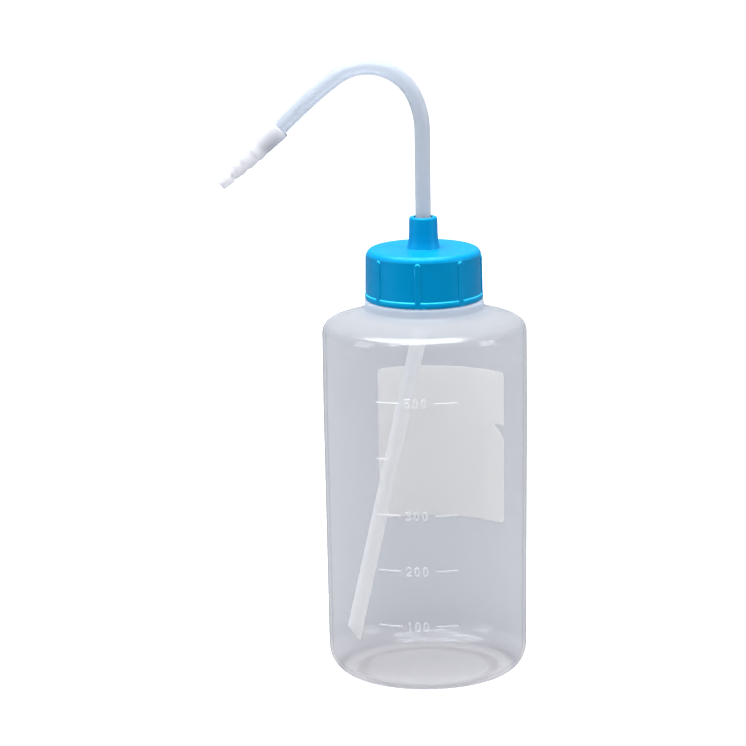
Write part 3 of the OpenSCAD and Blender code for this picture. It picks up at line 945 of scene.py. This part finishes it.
def floor_material():
    """Near-white to the camera, with the bottle's faint contact shadow; grey to the bottle itself, with
    painted light on the floor under it.
    """
    material, nt, coords = new_material("studio_floor_white")
    away = add(nt, "ShaderNodeVectorMath", "Value", operation="LENGTH")
    feed(nt, coords, away[0], 0)
    # Painted light: a lighter disc on the floor right under the bottle.
    tone = mixed(nt, ranged(nt, away, SWEEP_FROM, SWEEP_TO, 0.0, 1.0), SWEEP_PAINTED_LIGHT_NEAR, SWEEP_FAR)
    sweep = add(nt, "ShaderNodeBsdfDiffuse", "BSDF", Color=tone)
    white = nt.nodes.new("ShaderNodeAddShader")
    feed(nt, add(nt, "ShaderNodeBsdfDiffuse", "BSDF", Color=(0.5, 0.5, 0.5)), white, 0)
    feed(nt, add(nt, "ShaderNodeEmission", "Emission", Color=(1, 1, 1), Strength=0.72), white, 1)
    seen = blended(nt, straight_to_camera(nt), sweep, (white, "Shader"))
    to_output(nt, "ShaderNodeOutputMaterial", seen)
    return material


def build_floor():
    half = 3.0
    mesh = bpy.data.meshes.new("studio_floor")
    corners = [(-half, -half, 0), (half, -half, 0), (half, half, 0), (-half, half, 0)]
    mesh.from_pydata(corners, [], [(0, 1, 2, 3)])
    mesh.materials.append(floor_material())
    floor = bpy.data.objects.new("studio_floor", mesh)
    bpy.context.scene.collection.objects.link(floor)


def build_world():
    """White to the camera; a grey room in front of the bottle and a blue-grey backdrop behind it."""
    world = bpy.data.worlds.new("studio")
    bpy.context.scene.world = world
    world.use_nodes = True
    nt = world.node_tree
    nt.nodes.clear()
    coords = add(nt, "ShaderNodeTexCoord", "Generated")
    behind = ranged(nt, add(nt, "ShaderNodeSeparateXYZ", "Y", Vector=coords), -0.35, 0.25, 0.0, 1.0)
    room = mixed(nt, behind, ROOM_COLOUR, BACKDROP_COLOUR)
    lit = add(nt, "ShaderNodeBackground", "Background", Color=room, Strength=1.0)
    white = add(nt, "ShaderNodeBackground", "Background", Color=(1, 1, 1), Strength=1.0)
    to_output(nt, "ShaderNodeOutputWorld", blended(nt, straight_to_camera(nt), lit, white))


def area_light(name, place, size, power, colour=(1, 1, 1), mirrored=True):
    """A softbox aimed at the middle of the bottle; one that isn't mirrored leaves no highlight."""
    middle = Vector((0, 0, 0.12))
    lamp = bpy.data.lights.new(name, "AREA")
    lamp.shape = "RECTANGLE"
    lamp.size, lamp.size_y = size
    lamp.energy = power
    lamp.color = colour
    holder = bpy.data.objects.new(name, lamp)
    holder.location = place
    holder.visible_glossy = mirrored
    holder.rotation_mode = "QUATERNION"
    holder.rotation_quaternion = (middle - Vector(place)).to_track_quat("-Z", "Y")
    bpy.context.scene.collection.objects.link(holder)


camera_distance = 1.4
camera_height = math.radians(12.5)
camera_roll = math.radians(-0.83)
camera_aim = Vector((-20.25 * MM, 0, 119.84 * MM))
focal_over_width = 3590 / 746


def build_camera():
    data = bpy.data.cameras.new("camera")
    data.sensor_width = 36
    data.lens = focal_over_width * data.sensor_width
    data.clip_start = 0.05
    camera = bpy.data.objects.new("camera", data)
    back = Vector((0, -math.cos(camera_height), math.sin(camera_height)))
    camera.location = camera_aim + back * camera_distance
    level = (-back).to_track_quat("-Z", "Y").to_matrix().to_4x4()
    camera.rotation_mode = "QUATERNION"
    camera.rotation_quaternion = (level @ Matrix.Rotation(camera_roll, 4, "Z")).to_quaternion()
    bpy.context.scene.collection.objects.link(camera)
    bpy.context.scene.camera = camera


build_floor()
build_world()
area_light("top_softbox", (-0.1, -0.05, 1.2), (1.3, 1.2), 49, colour=(0.92, 0.97, 1.0))
area_light("left_softbox", (-1.3, -0.35, 0.5), (0.5, 0.9), 4.5)
area_light("right_softbox", (1.3, -0.35, 0.5), (0.5, 0.9), 5.5)
area_light("back_softbox", (0.35, 1.1, 0.75), (0.6, 0.6), 5, mirrored=False)
area_light("key_lamp", (-0.8, -0.9, 1.1), (0.2, 0.2), 2)
build_camera()
bpy.context.scene.view_settings.view_transform = "Standard"
